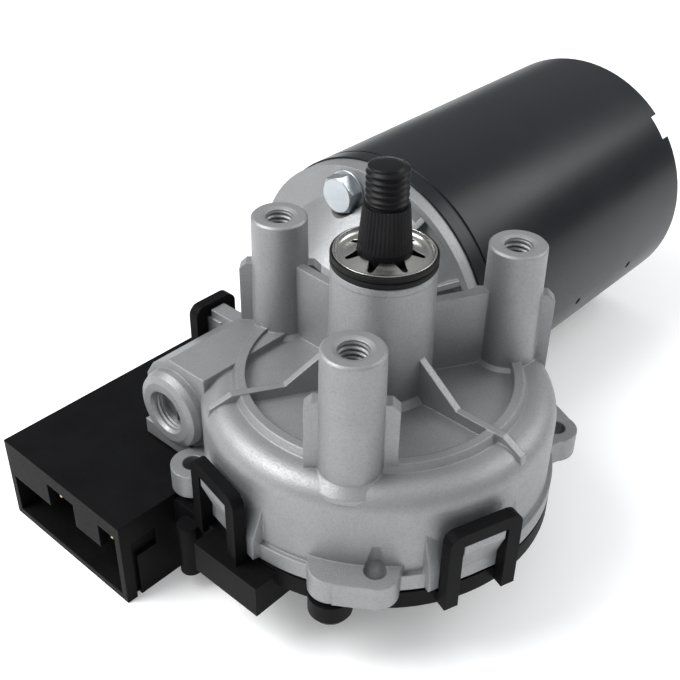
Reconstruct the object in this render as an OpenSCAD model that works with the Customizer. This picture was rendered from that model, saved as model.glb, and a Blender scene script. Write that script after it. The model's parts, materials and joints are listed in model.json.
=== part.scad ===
// Windscreen wiper motor: worm gear motor with a three-post mounting and a serrated output cone.
// The origin is on the output shaft's axis, in the plane of the three post tops.
// +Z runs up the output shaft, +X runs along the armature towards the far end of the can.

/* [Mounting posts] */
// Diameter of the circle through the three mounting posts
post_pcd = 67; // [62:0.5:72]
// Radius of a mounting post at its top
post_r = 7; // [6:0.1:8]
// Growth of a post's radius from top to root
post_draft = 0.35; // [0:0.05:0.8]
// Radius of the tapped hole in a post
post_hole_r = 3.4; // [2.5:0.05:4]
// Depth of the tapped hole in a post
post_hole_depth = 20; // [12:1:26]
// Growth of a tapped hole's radius at its mouth
post_sink = 1.1; // [0.4:0.1:1.6]
// Height of the mounting plane above the drum's roof
post_h = 31; // [26:0.5:38]
// Reach of a post's side fin from the post's axis
fin_reach = 10.2; // [8.8:0.1:11.5]
// Thickness of a post's side fin
fin_t = 3.4; // [2:0.1:5]
// Depth of a fin's top below the mounting plane
fin_drop = 13; // [8:0.5:20]

/* [Gear housing] */
// Outer radius of the drum round the worm wheel
drum_r = 43.3; // [42:0.1:46]
// Height of the drum from its roof to its open rim
drum_h = 27; // [26:0.5:32]
// Thickness of the drum's side wall
wall_t = 3; // [2:0.1:4]
// Thickness of the drum's roof
roof_t = 3.4; // [2.5:0.1:4]
// Radius of the rounded shoulder of the drum
shoulder_r = 6; // [3:0.5:8]
// Height of the rim at the drum's open end
lip_h = 4.5; // [3:0.5:6]
// Reach of that rim beyond the drum's wall
lip_out = 1.2; // [0.5:0.1:2]
// Height of the ring ridge above the drum's roof
ridge_h = 1.7; // [0.8:0.1:3]
// Width of the ring ridge
ridge_w = 2.2; // [1:0.1:3]
// Depth of the pocket inside the ring ridge
pocket_d = 0.9; // [0:0.1:1.2]
// Radius of the tower round the output shaft
tower_r = 12.3; // [11.5:0.1:14]
// Depth of the tower's top below the mounting plane
tower_drop = 0.5; // [0:0.1:2]
// Thickness of the webs between tower and posts
web_t = 2.6; // [1.5:0.1:4]
// Depth of the webs' top edge below the mounting plane
web_drop = 12; // [8:0.5:18]
// Thickness of the three radial ribs
rib_t = 2; // [1:0.1:3]
// Depth of a rib's top at the tower below the mounting plane
rib_drop = 19; // [14:0.5:24]
// Radius at which a rib's top levels out
rib_knee = 23.8; // [20:0.2:28]

/* [Gear pair] */
// Module of the worm and its wheel
gear_m = 1; // [0.95:0.01:1.02]
// Teeth of the worm wheel, for one thread of the worm
wheel_teeth = 64; // [60:1:66]
// Pitch radius of the worm
worm_pitch_r = 6; // [5.6:0.1:6.4]
// Width of the worm wheel's teeth
wheel_w = 10; // [8:0.5:11]
// Length of the worm's thread
worm_len = 22; // [16:1:26]
// Distance of the armature's axis below the drum's roof
axis_drop = 12; // [11.5:0.1:13]
// Play left between the flanks of thread and teeth
flank_play = 0.2; // [0.15:0.01:0.3]

/* [Output shaft] */
// Radius of the shaft's journal
shaft_r = 6.25; // [5.5:0.05:6.6]
// Radius of the threaded end
thread_r = 5; // [4:0.1:5.2]
// Length of the threaded end
thread_len = 9.5; // [7:0.5:14]
// Height of the threaded end's root above the mounting plane
cone_top = 15.7; // [12:0.1:20]
// Height of the serrated cone's foot above the mounting plane
cone_foot = 5; // [4:0.1:7]
// Outer radius of the bushes in the tower
bush_r = 8.2; // [7.6:0.1:9]
// Length of a bush
bush_len = 11; // [8:0.5:13]
// Radial running clearance of a shaft in its bush
run_gap = 0.03; // [0.02:0.01:0.06]
// Outer radius of the star washer
star_r = 11.9; // [10:0.1:12.5]
// Height of the rubber ring under the star washer
seal_h = 2.5; // [1.5:0.1:3]

/* [Worm tunnel and thrust screw] */
// Distance of the tunnel's end face from the output axis
tunnel_x = 32.2; // [31:0.1:35]
// Height of the tunnel's flat top above the armature's axis
tunnel_up = 13; // [12:0.1:14]
// Distance of the tunnel's side wall from the armature's axis
tunnel_side = 11.5; // [11:0.1:13]
// Radius of the bore round the worm
tunnel_bore_r = 8.2; // [7.9:0.1:8.6]
// Outer radius of the boss round the thrust screw
boss_r = 10.5; // [9:0.1:12]
// Distance of the boss's face from the output axis
boss_x = 36.4; // [35.6:0.1:38]
// Radius of the thrust screw
thrust_r = 5.3; // [4.5:0.1:6]
// Length of the thrust screw
thrust_len = 8; // [6:0.5:10]

/* [Motor can] */
// Outer radius of the can
can_r = 40.5; // [39:0.1:44]
// Wall of the can
can_wall = 2.5; // [2:0.1:3]
// Length of the can
can_len = 108; // [104:1:120]
// Depth by which the can's seat cuts into the drum's radius
flange_in = 1.3; // [0.8:0.1:2.5]
// Thickness of the flange behind its pockets
flange_t = 2.5; // [2:0.1:4]
// Thickness of the flange at its bolt pad
pad_t = 5.5; // [4:0.1:7]
// Distance of a can bolt's axis from the can's outer face
bolt_inset = 7.5; // [6.8:0.1:9]
// Radius of a can bolt's shank
bolt_r = 3; // [2.5:0.1:3.2]
// Width across flats of a can bolt's head
bolt_af = 10; // [8:0.1:11]
// Height of a can bolt's head
bolt_head_h = 4.6; // [3:0.1:6]

/* [Armature] */
// Radius of the armature shaft
arm_r = 4; // [3.6:0.1:4.3]
// Air gap between the laminated core and the magnets
air_gap = 1; // [0.6:0.1:3]
// Length of the laminated core
core_len = 54; // [44:1:58]
// Slots in the laminated core
core_slots = 12; // [8:1:14]
// Radius of the commutator
comm_r = 11.5; // [10:0.1:12.5]
// Thickness of a field magnet
magnet_t = 7.6; // [6:0.1:8.2]
// Field magnets in the can
magnet_count = 4; // [4:2:6]

/* [Brush gear] */
// Width of a brush across the armature's axis
brush_w = 7; // [5:0.5:8]
// Thickness of a brush along the armature's axis
brush_t = 5; // [4:0.5:6]
// Length of a brush
brush_len = 10; // [8:0.5:11]
// Travel of a brush in its holder
brush_travel = 3; // [1:0.5:4]

/* [Bottom cover and connector] */
// Thickness of the cover's plate
cover_t = 2.6; // [2:0.1:4]
// Height of the cover's outer rim
cover_rim_h = 5; // [4:0.5:7]
// Thickness of the gasket under the drum's rim
gasket_t = 0.8; // [0.4:0.1:1.2]
// Width of a loop clip on the drum
clip_w = 19; // [16:0.5:24]
// Width of the loop clip on the worm tunnel
side_clip_w = 13.5; // [12:0.5:18]
// Width of a loop clip's leg
clip_leg = 3.6; // [3:0.1:4.5]
// Thickness of a loop clip
clip_t = 3; // [2:0.1:4]
// Height of a clip's top above the drum's rim
clip_up = 18; // [16:0.5:22]
// Height of a clip's bar above its window
clip_bar = 3.6; // [2.5:0.1:5]
// Radius of a clip's upper corners
clip_round = 2.8; // [1:0.1:3.5]
// Distance of the connector's mouth from the output axis
conn_x = 61; // [59:0.5:66]
// Distance of the connector's near side from the output axis
conn_y = 28; // [26:0.5:30]
// Width of the connector shell
conn_w = 48; // [44:1:54]
// Height of the connector shell
conn_h = 25.5; // [22:0.5:27]
// Depth of the connector's mouth
conn_depth = 19; // [14:1:22]
// Wall of the connector shell
conn_wall = 2; // [1.5:0.1:2.5]
// Number of contact blades in the connector
blade_count = 5; // [4:1:6]

/* [Hidden] */
$fn = 64;

// Heights and places that follow from the sizes above
post_angles = [-150, -30, 90];
rib_angles = [-90, 30, 150];
fin_dir = 130;
roof_z = -post_h;
floor_z = roof_z - pocket_d;
rim_z = roof_z - drum_h;
ceiling_z = roof_z - roof_t;
axis_z = roof_z - axis_drop;
worm_tip_r = worm_pitch_r + gear_m;
worm_root_r = worm_pitch_r - 1.2 * gear_m;
wheel_pitch_r = gear_m * wheel_teeth / 2;
wheel_tip_r = wheel_pitch_r + gear_m;
wheel_root_r = wheel_pitch_r - 1.25 * gear_m;
gear_c = wheel_pitch_r + worm_pitch_r;
cavity_r = drum_r - wall_t;
lip_r = drum_r + lip_out;
flange_x = drum_r - flange_in;
slip = 0.01;
seat_gap = 0.3;
shaft_bore_r = shaft_r + run_gap;

// Turns a shape that stands on Z about the armature's axis, with its foot at the given x
module on_motor_axis(x = 0) {
    translate([x, gear_c, axis_z]) rotate([0, 90, 0]) children();
}

// A point on the motor's cross-section, at an angle from +Y towards +Z
module at_motor_angle(x, radius, angle) {
    translate([x, gear_c + radius * cos(angle), axis_z + radius * sin(angle)])
        rotate([0, 90, 0]) children();
}

module at_posts() {
    for (a = post_angles)
        rotate([0, 0, a]) translate([post_pcd / 2, 0, 0]) rotate([0, 0, -a]) children();
}

// A flat plate that stands on a radius, from a profile of radius and height
module radial_plate(points, thickness) {
    rotate([90, 0, 0]) translate([0, 0, -thickness / 2])
        linear_extrude(thickness) polygon(points);
}

module ring(outer, inner, height) {
    difference() {
        cylinder(r = outer, h = height);
        translate([0, 0, -1]) cylinder(r = inner, h = height + 2);
    }
}

// Gear housing
ridge_r = post_pcd / 2;
tunnel_y = gear_c + tunnel_side;
tunnel_top = axis_z + tunnel_up;
post_foot_z = ceiling_z;
web_overlap = 1.2;

module drum_profile() {
    translate([0, rim_z]) square([drum_r, drum_h - shoulder_r]);
    translate([0, rim_z]) square([drum_r - shoulder_r, drum_h - pocket_d]);
    translate([ridge_r, rim_z]) square([drum_r - shoulder_r - ridge_r, drum_h]);
    translate([drum_r - shoulder_r, roof_z - shoulder_r]) circle(shoulder_r);
    translate([0, rim_z]) square([lip_r, lip_h]);
    polygon([
        [ridge_r - ridge_w / 2, rim_z],
        [ridge_r - ridge_w / 2, roof_z + ridge_h],
        [ridge_r + ridge_w / 2, roof_z + ridge_h],
        [ridge_r + ridge_w, roof_z],
        [ridge_r + ridge_w, rim_z],
    ]);
}

tower_fillet = 1.6;
fillet_sunk = 1.2;
module tower() {
    foot_r = tower_r + 0.4 + tower_fillet + fillet_sunk;
    rotate_extrude() polygon([
        [0, post_foot_z],
        [foot_r, post_foot_z],
        [foot_r, floor_z - fillet_sunk],
        [tower_r + 0.4, floor_z + tower_fillet],
        [tower_r, -tower_drop - 0.5],
        [tower_r - 0.5, -tower_drop],
        [0, -tower_drop],
    ]);
}

post_fillet = 1;
sink_depth = 0.4;
module post() {
    foot_r = post_r + post_draft + post_fillet + fillet_sunk;
    rotate_extrude() polygon([
        [0, post_foot_z],
        [foot_r, post_foot_z],
        [foot_r, floor_z - fillet_sunk],
        [post_r + post_draft, floor_z + post_fillet],
        [post_r, -0.5],
        [post_r - 0.5, 0],
        [0, 0],
    ]);
    for (s = [0, 180]) rotate([0, 0, fin_dir + s]) fin();
}

module fin() {
    slope = fin_t / 2;
    foot_z = roof_z - shoulder_r - 2;
    radial_plate([
        [post_r - 1, foot_z],
        [post_r - 1, -fin_drop],
        [fin_reach - slope, -fin_drop],
        [fin_reach, -fin_drop - slope],
        [fin_reach, foot_z],
    ], fin_t);
}

module web() {
    radial_plate([
        [tower_r - web_overlap, post_foot_z],
        [tower_r - web_overlap, -web_drop],
        [post_pcd / 2 - post_r + web_overlap, -web_drop + 0.6],
        [post_pcd / 2 - post_r + web_overlap, post_foot_z],
    ], web_t);
}

module rib() {
    rib_z = roof_z + ridge_h + 0.3;
    radial_plate([
        [tower_r - web_overlap, ceiling_z],
        [tower_r - web_overlap, -rib_drop],
        [rib_knee, rib_z],
        [ridge_r + ridge_w + 1, rib_z],
        [drum_r - 1.2, roof_z - 0.9],
        [drum_r - 0.6, roof_z - shoulder_r + 2],
        [drum_r - wall_t, ceiling_z],
    ], rib_t);
}

// Tunnel round the worm: a flat roof, a sloped corner and a side wall
module tunnel_outline(grow = 0) {
    polygon([
        [ridge_r - 6, rim_z],
        [ridge_r - 6, tunnel_top],
        [gear_c + 2.3 + grow, tunnel_top],
        [gear_c + 8.6 + grow, tunnel_top - 4],
        [tunnel_y + grow, tunnel_top - 8.5],
        [tunnel_y + grow, rim_z],
    ]);
}

module tunnel_body() {
    neck_x = 16;
    along = tunnel_x + neck_x;
    translate([-tunnel_x, 0, 0]) rotate([90, 0, 90]) linear_extrude(along) tunnel_outline();
    translate([-tunnel_x - lip_out, ridge_r - 6, rim_z])
        cube([along + lip_out, tunnel_y + lip_out - ridge_r + 6, lip_h]);
}

module thrust_boss() {
    round_x = 2.4;
    foot = boss_x - 22;
    on_motor_axis(-boss_x) rotate_extrude() polygon([
        [0, 0],
        [boss_r - round_x, 0],
        [boss_r - 0.7, 0.8],
        [boss_r, round_x],
        [boss_r, foot],
        [0, foot],
    ]);
    // Buttress between the boss and the rim
    buttress_w = 4;
    translate([-tunnel_x - lip_out, gear_c - buttress_w / 2, rim_z + 1])
        cube([lip_out + 1, buttress_w, axis_z - rim_z - 1]);
}

// Motor flange: a conical neck, a pocketed disc with gussets, and a thick pad on the bolt side
neck_r = can_r - 7;
flange_r = can_r - 0.5;
neck_start = 10;
neck_bore_r = 14;
body_gap = 0.4;
gusset_t = 1.6;
gusset_angles = [20, 121, 151, 340];
module flange_body() {
    rim_w = 2;
    rim_t = 4;
    disc_z = flange_x - flange_t;
    on_motor_axis() rotate_extrude() polygon([
        [0, neck_start],
        [14.5, neck_start],
        [18, neck_start + 10],
        [neck_r, disc_z],
        [flange_r - rim_w, disc_z],
        [flange_r - rim_w, flange_x - rim_t],
        [flange_r, flange_x - rim_t],
        [flange_r, flange_x],
        [0, flange_x],
    ]);
    intersection() {
        on_motor_axis(flange_x - pad_t) cylinder(r = flange_r, h = pad_t);
        translate([0, gear_c - 7, axis_z - 2 * can_r]) cube([2 * can_r, 2 * can_r, 4 * can_r]);
    }
    for (a = gusset_angles) on_motor_axis() rotate([0, 0, 90 + a]) radial_plate([
        [neck_r - 12, disc_z - 10],
        [neck_r - 6, disc_z - 6.4],
        [flange_r - rim_w + 0.5, disc_z - 0.6],
        [flange_r - rim_w + 0.5, disc_z + 1],
        [neck_r - 12, disc_z + 1],
    ], gusset_t);
}

// Ears on the rim: angle and radius of the hole
ear_t = 6.6;
ear_hole_r = 2.6;
ear_tip_r = 5.6;
ears = [[-139.5, drum_r + 1.3], [-41.5, drum_r + 3.3], [145, drum_r + 3.1]];
screw_angle = -152;
screw_ring_r = drum_r + 1.9;
module ear_tab(angle, radius, half_width, left, right) {
    rotate([0, 0, angle]) {
        translate([radius, 0]) circle(ear_tip_r);
        polygon([
            [drum_r - 4, -half_width * right],
            [radius, -ear_tip_r],
            [radius, ear_tip_r],
            [drum_r - 4, half_width * left],
        ]);
    }
}

module ear_outlines() {
    ear_tab(ears[0][0], ears[0][1], 8, 1, 1);
    ear_tab(ears[1][0], ears[1][1], 9, 1.2, 1);
    ear_tab(ears[2][0], ears[2][1], 7, 1, 1);
    ear_tab(screw_angle, screw_ring_r - 1, 7, 1, 1);
    rotate([0, 0, (screw_angle + ears[0][0]) / 2])
        translate([drum_r - 4, -4]) square([ears[0][1] + ear_tip_r - drum_r + 3.6, 8]);
}

// Lugs that the loop clips catch, on the drum and on the tunnel's side wall
clip_angles = [-109.4, 168.5];
tunnel_clip_x = -7;
clip_gap = 0.3;
clip_face = lip_out + clip_gap;
lug_reach = clip_face + clip_t - 0.3;
drum_clip_top = rim_z + clip_up;
side_clip_top = tunnel_top + 0.5;
function lug_top(clip_top) = clip_top - clip_bar - clip_gap;
function lug_w(width) = width - 2 * clip_leg - 1;
pad_extra = 2.5;
module clip_lug(width, clip_top) {
    top = lug_top(clip_top);
    radial_plate([
        [-3, rim_z + lip_h - 1],
        [lip_out, rim_z + lip_h - 1],
        [lug_reach, top - 2.4],
        [lug_reach, top],
        [-3, top],
    ], lug_w(width));
}

// Wedge-shaped pad that carries the wall of the drum out to its lip behind a clip
module clip_pad(width) {
    radial_plate([
        [-3.5, rim_z + 0.3],
        [clip_face - 0.15, rim_z + 0.3],
        [clip_face - 0.15, rim_z + lip_h + 1.2],
        [-2.2, rim_z + clip_up - 1],
        [-3.5, rim_z + clip_up - 1],
    ], width + 2 * pad_extra);
}

module at_drum_clips() {
    for (a = clip_angles) rotate([0, 0, a]) translate([drum_r, 0, 0]) children();
}

module at_side_clip() {
    translate([tunnel_clip_x, tunnel_y, 0]) rotate([0, 0, 90]) children();
}

front_bearing_x = 20;
front_bearing_len = 9;
front_bearing_r = 9;
tunnel_bore_x = 19.5;
module gear_housing() {
    color("silver") difference() {
        union() {
            rotate_extrude() drum_profile();
            tower();
            at_posts() post();
            for (a = post_angles) rotate([0, 0, a]) web();
            for (a = rib_angles) rotate([0, 0, a]) rib();
            tunnel_body();
            thrust_boss();
            flange_body();
            translate([0, 0, rim_z]) linear_extrude(ear_t) ear_outlines();
            at_drum_clips() clip_lug(clip_w, drum_clip_top);
            at_drum_clips() clip_pad(clip_w);
            at_side_clip() clip_lug(side_clip_w, side_clip_top);
            // Rib that runs from the side clip's lug back into the tunnel's flat roof
            at_side_clip() radial_plate([
                [-tunnel_side, tunnel_top - 9],
                [0.9, tunnel_top - 9],
                [0.9, tunnel_top - 1],
                [-tunnel_side, tunnel_top - 1],
            ], lug_w(side_clip_w) - 0.8);
        }
        // Room for the worm wheel, open at the bottom
        translate([0, 0, rim_z - 1]) cylinder(r = cavity_r, h = ceiling_z - rim_z + 1);
        // Seats of the two bushes and the relief between them
        translate([0, 0, ceiling_z - 1]) cylinder(r = bush_r, h = bush_len + 1);
        translate([0, 0, ceiling_z]) cylinder(r = bush_r - 1, h = -ceiling_z + 1);
        translate([0, 0, upper_bush_z]) cylinder(r = bush_r, h = -upper_bush_z + 1);
        // Tapped holes of the posts
        at_posts() {
            translate([0, 0, -post_hole_depth]) cylinder(r = post_hole_r, h = post_hole_depth + 1);
            translate([0, 0, -sink_depth])
                cylinder(r1 = post_hole_r, r2 = post_hole_r + post_sink, h = sink_depth);
        }
        // Bore round the worm, seat of the front bearing and hollow neck
        on_motor_axis(-tunnel_bore_x) cylinder(r = tunnel_bore_r, h = tunnel_bore_x + front_bearing_x);
        on_motor_axis(front_bearing_x - 1) cylinder(r = front_bearing_r, h = front_bearing_len + 2);
        on_motor_axis() rotate_extrude() polygon([
            [0, front_bearing_x + front_bearing_len],
            [front_bearing_r, front_bearing_x + front_bearing_len],
            [front_bearing_r, flange_x - 8],
            [neck_bore_r, flange_x - 4],
            [neck_bore_r, flange_x + 1],
            [0, flange_x + 1],
        ]);
        // The drum ends flat where the can stands
        on_motor_axis(flange_x) cylinder(r = can_r + body_gap, h = can_r);
        // Room for the cover's edge beside the neck
        translate([0, 0, rim_z - can_r]) linear_extrude(can_r) difference() {
            rim_outline(-body_gap);
            translate([flange_x - flange_t, 0]) square(can_r);
        }
        // Tapped bore of the thrust screw
        on_motor_axis(-boss_x - 1) cylinder(r = thrust_r, h = boss_x - tunnel_bore_x + 2);
        on_motor_axis(-boss_x) cylinder(r1 = thrust_r + 0.6, r2 = thrust_r, h = 0.9);
        // Holes in the ears, with the groove that clears a screw head
        for (e = ears) rotate([0, 0, e[0]]) translate([e[1], 0, rim_z - 1])
            cylinder(r = ear_hole_r, h = ear_t + 2);
        rotate([0, 0, ears[0][0]]) translate([ears[0][1], 0, rim_z + ear_t - 0.1])
            cylinder(r1 = ear_hole_r, r2 = 1.6, h = 6);
        rotate([0, 0, screw_angle]) translate([screw_ring_r, 0, rim_z - 1])
            cylinder(r = cover_screw_r, h = cover_screw_in + 1);
        // Bolt holes and the seal's groove in the flange
        at_can_bolts(flange_x - pad_t - 8) cylinder(r = bolt_r + 0.3, h = pad_t + 9);
        at_can_bolts(flange_x - pad_t - 8) cylinder(r = bolt_af / 2 + 1.2, h = 8);
        on_motor_axis(flange_x - seal_t) ring(seal_groove_r + seal_w, seal_groove_r, seal_t + 1);
    }
}

// Bushes, rubber ring and star washer of the output shaft
upper_bush_z = -tower_drop - bush_len - 1.5;
module shaft_bush(foot) {
    color("goldenrod") translate([0, 0, foot]) ring(bush_r, shaft_bore_r, bush_len);
}

module upper_shaft_bush() { shaft_bush(upper_bush_z); }

module lower_shaft_bush() { shaft_bush(ceiling_z); }

seal_foot = -tower_drop;
module shaft_seal_ring() {
    groove = 0.5;
    color("#1c1c1c") translate([0, 0, seal_foot]) rotate_extrude() polygon([
        [shaft_bore_r + 0.04, 0],
        [star_r - 0.4, 0],
        [star_r - 0.2, seal_h * 0.42],
        [star_r - 0.2 - groove, seal_h * 0.5],
        [star_r - 0.2, seal_h * 0.58],
        [star_r - 0.6, seal_h],
        [star_r - 1.4, seal_h],
        [shaft_r + 3.8, seal_h - 1.5],
        [shaft_bore_r + 0.04, seal_h - 1.5],
    ]);
}

// Output shaft, from its foot to its threaded tip
shaft_room = 6.2;
shaft_foot = rim_z + shaft_room;
shaft_tip = cone_top + thread_len;
circlip_z = shaft_foot + 1.2;
circlip_t = 0.9;
module output_shaft() {
    tip = 1;
    color("#26272a") rotate_extrude() polygon([
        [0, shaft_foot],
        [shaft_r - 0.6, shaft_foot],
        [shaft_r, shaft_foot + 0.6],
        [shaft_r, circlip_z],
        [shaft_r - 0.7, circlip_z],
        [shaft_r - 0.7, circlip_z + circlip_t],
        [shaft_r, circlip_z + circlip_t],
        [shaft_r, cone_foot],
        [thread_r + 0.3, cone_top - 0.3],
        [thread_r - 0.6, cone_top - 0.3],
        [thread_r - 0.6, cone_top],
        [thread_r, cone_top + 0.3],
        [thread_r, shaft_tip - tip],
        [thread_r - tip, shaft_tip],
        [0, shaft_tip],
    ]);
}

star_t = 0.5;
star_foot = seal_foot + seal_h + 0.3;
star_slits = 8;
module star_washer() {
    dish = 1;
    slit_w = 1.7;
    color("#c8c9c6") difference() {
        rotate_extrude() polygon([
            [shaft_r, star_foot - dish + star_t],
            [shaft_r, star_foot - dish],
            [shaft_r + 3.4, star_foot - dish],
            [star_r - 1.2, star_foot],
            [star_r, star_foot],
            [star_r, star_foot + 0.9],
            [star_r - star_t, star_foot + 0.9],
            [star_r - star_t - 1, star_foot + star_t],
            [shaft_r + 3.4, star_foot - dish + star_t],
        ]);
        for (i = [0:star_slits - 1]) rotate([0, 0, (i + 0.5) * 360 / star_slits])
            translate([0, -slit_w / 2, star_foot - 2]) cube([shaft_r + 3.5, slit_w, 4]);
    }
}

thrust_washer_t = 0.8;
hub_top = ceiling_z - 0.1 - thrust_washer_t;
module thrust_washer() {
    color("#b9a77c") translate([0, 0, hub_top]) ring(bush_r + 1.6, shaft_r, thrust_washer_t);
}

module shaft_circlip() {
    color("#55585c") translate([0, 0, circlip_z]) difference() {
        ring(shaft_r + 2, shaft_r - 0.7, circlip_t);
        translate([0, -1.4, -1]) cube([2 * shaft_r, 2.8, 4]);
    }
}

// Worm wheel: involute teeth on a slant that matches the worm's lead
wheel_top = axis_z + wheel_w / 2;
wheel_foot = axis_z - wheel_w / 2;
pressure_angle = 20;
base_r = wheel_pitch_r * cos(pressure_angle);
function involute_angle(r) = let (t = acos(base_r / r)) tan(t) * 180 / PI - t;
tooth_half = 90 / wheel_teeth - (flank_play / 2) * 180 / PI / wheel_pitch_r;
function flank_angle(r) = tooth_half + involute_angle(wheel_pitch_r) - involute_angle(r);
flank_radii = [wheel_root_r + 0.3, wheel_pitch_r - 0.4, wheel_pitch_r + 0.4, wheel_tip_r];
function tooth_point(r, a) = [r * cos(a), r * sin(a)];
function tooth_points(centre) = concat(
    [tooth_point(wheel_root_r, centre - 180 / wheel_teeth)],
    [for (r = flank_radii) tooth_point(r, centre - flank_angle(r))],
    [for (i = [len(flank_radii) - 1:-1:0]) tooth_point(flank_radii[i], centre + flank_angle(flank_radii[i]))]
);
lead_slope = gear_m / (2 * worm_pitch_r);
wheel_twist = wheel_w * lead_slope * 180 / PI / wheel_pitch_r;
hub_r = 12;
web_low = 2.6;
light_holes = 6;
light_hole_r = 3;
module worm_wheel() {
    color("#e8e4d6") difference() {
        translate([0, 0, wheel_foot]) rotate([0, 0, 90 + 180 / wheel_teeth - wheel_twist / 2])
            linear_extrude(wheel_w, twist = -wheel_twist, slices = 1)
                polygon([for (i = [0:wheel_teeth - 1]) each tooth_points(i * 360 / wheel_teeth)]);
        translate([0, 0, wheel_foot - 1]) cylinder(r = hub_r, h = wheel_w + 2);
        translate([0, 0, wheel_top - web_low]) ring(wheel_root_r - 3, hub_r + 3, web_low + 1);
        for (i = [0:light_holes - 1]) rotate([0, 0, i * 360 / light_holes])
            translate([(wheel_root_r + hub_r) / 2, 0, wheel_foot - 1])
                cylinder(r = light_hole_r, h = wheel_w + 2);
    }
}

module wheel_hub() {
    color("#8d8f92") difference() {
        union() {
            translate([0, 0, wheel_foot]) cylinder(r = hub_r, h = wheel_w);
            translate([0, 0, circlip_z + circlip_t + 0.1])
                cylinder(r = hub_r - 3, h = hub_top - circlip_z - circlip_t - 0.1);
        }
        translate([0, 0, rim_z]) cylinder(r = shaft_r, h = drum_h);
    }
}

disc_t = 0.5;
disc_in = hub_r + 2;
disc_edge = 4;
disc_out = wheel_root_r - disc_edge;
module park_disc() {
    // The gap that opens the park circuit once in each turn
    park_w = 6;
    color("#c98b4e") translate([0, 0, wheel_foot - disc_t]) difference() {
        ring(disc_out, disc_in, disc_t);
        rotate([0, 0, 200]) translate([(disc_in + disc_out) / 2, -park_w / 2, -1])
            cube([disc_out, park_w, disc_t + 2]);
    }
}

// Worm: the section of a single thread, turned once for each pitch along the shaft
worm_pitch = PI * gear_m;
thread_half = (worm_pitch / 4 - flank_play / 2) / worm_pitch * 360;
flank_turn = tan(pressure_angle) * gear_m / worm_pitch * 360;
tip_turn = thread_half - flank_turn;
root_turn = thread_half + 1.2 * flank_turn;
function worm_r(a) =
    a < tip_turn ? worm_tip_r
    : a < root_turn ? worm_tip_r - (a - tip_turn) / (root_turn - tip_turn) * (worm_tip_r - worm_root_r)
    : worm_root_r;
worm_steps = [0, 0.5, 1, 1.4, 1.8, 2.2, 2.6, 3, 3.5, 4];
function worm_turn(s) =
    s <= 1 ? s * tip_turn
    : s <= 3 ? tip_turn + (s - 1) / 2 * (root_turn - tip_turn)
    : root_turn + (s - 3) * (180 - root_turn);
function worm_point(a) = [worm_r(abs(a)) * cos(a), worm_r(abs(a)) * sin(a)];
worm_section = concat(
    [for (s = worm_steps) worm_point(worm_turn(s))],
    [for (i = [len(worm_steps) - 2:-1:1]) worm_point(-worm_turn(worm_steps[i]))]
);
worm_hub_len = worm_len + 8;
worm_turns = worm_len / worm_pitch;
module worm() {
    // The thread's crest faces the wheel at the middle of the worm
    phase = -90 - 180 * worm_turns;
    color("#9a9da1") difference() {
        union() {
            on_motor_axis(-worm_len / 2) rotate([0, 0, phase])
                linear_extrude(worm_len, twist = -360 * worm_turns, slices = ceil(14 * worm_turns), $fn = 18)
                    polygon(worm_section);
            on_motor_axis(-worm_hub_len / 2) cylinder(r = worm_root_r - 0.05, h = worm_hub_len);
        }
        on_motor_axis(-worm_hub_len) cylinder(r = worm_bore_r, h = 2 * worm_hub_len);
    }
}

// Armature shaft and its bearings
worm_bore_r = 3.2;
shaft_start = -22;
rear_plate_x = flange_x + can_len - 5.5;
rear_plate_t = 2;
rear_bearing_len = 9;
rear_bearing_x = rear_plate_x - 6;
rear_bearing_r = 8;
rear_tip = rear_bearing_x + rear_bearing_len - 1;
module armature_shaft() {
    step_x = worm_hub_len / 2 + 0.5;
    color("#a9acb0") on_motor_axis() rotate_extrude() polygon([
        [0, shaft_start],
        [worm_bore_r - 0.6, shaft_start],
        [worm_bore_r, shaft_start + 0.6],
        [worm_bore_r, step_x],
        [arm_r, step_x],
        [arm_r, rear_tip - 0.6],
        [arm_r - 0.6, rear_tip],
        [0, rear_tip],
    ]);
}

module front_bearing() {
    color("goldenrod") on_motor_axis(front_bearing_x)
        ring(front_bearing_r, arm_r + run_gap, front_bearing_len);
}

module rear_bearing() {
    color("goldenrod") on_motor_axis(rear_bearing_x)
        ring(rear_bearing_r, arm_r + run_gap, rear_bearing_len);
}

module thrust_screw() {
    slot_w = 1.6;
    color("#6f7276") difference() {
        on_motor_axis(shaft_start - seat_gap - pad_len - thrust_len)
            cylinder(r = thrust_r, h = thrust_len);
        on_motor_axis(shaft_start - seat_gap - pad_len - thrust_len - 1)
            translate([-thrust_r - 1, -slot_w / 2, 0]) cube([2 * thrust_r + 2, slot_w, 3.2]);
    }
}

pad_len = 2;
module thrust_pad() {
    color("#e9e6da") on_motor_axis(shaft_start - seat_gap - pad_len)
        cylinder(r = thrust_r - 0.3, h = pad_len);
}

// Can with its front plate, seal, bolts, magnets and rear plate
can_in_r = can_r - can_wall;
plate_x = flange_x + 0.3;
plate_t = 3.6;
crimp_x = plate_x + plate_t + 0.7;
notch_angle = 138;
notch_w = 4.8;
notch_d = 3.2;
seal_t = 0.8;
seal_w = 1.2;
seal_groove_r = can_r - 2.2;
module motor_can() {
    lance_r = 1.1;
    color("#2b2d30") difference() {
        on_motor_axis(flange_x) ring(can_r, can_in_r, can_len);
        // Rolled groove that holds the front plate
        on_motor_axis(crimp_x) ring(can_r + 1, can_r - 0.35, 0.8);
        // Notch in the far rim
        at_motor_angle(flange_x + can_len - notch_d, can_r - 2, notch_angle) rotate([0, 0, -notch_angle])
            translate([-notch_w / 2, -4, 0]) cube([notch_w, 8, notch_d + 1]);
        // Two small lances low on the side
        for (x = [52.7, 83.1])
            at_motor_angle(flange_x + x, can_r, -164) rotate([0, 0, 164]) rotate([90, 0, 0])
                translate([0, 0, -0.7]) cylinder(r = lance_r, h = 4);
    }
}

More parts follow.
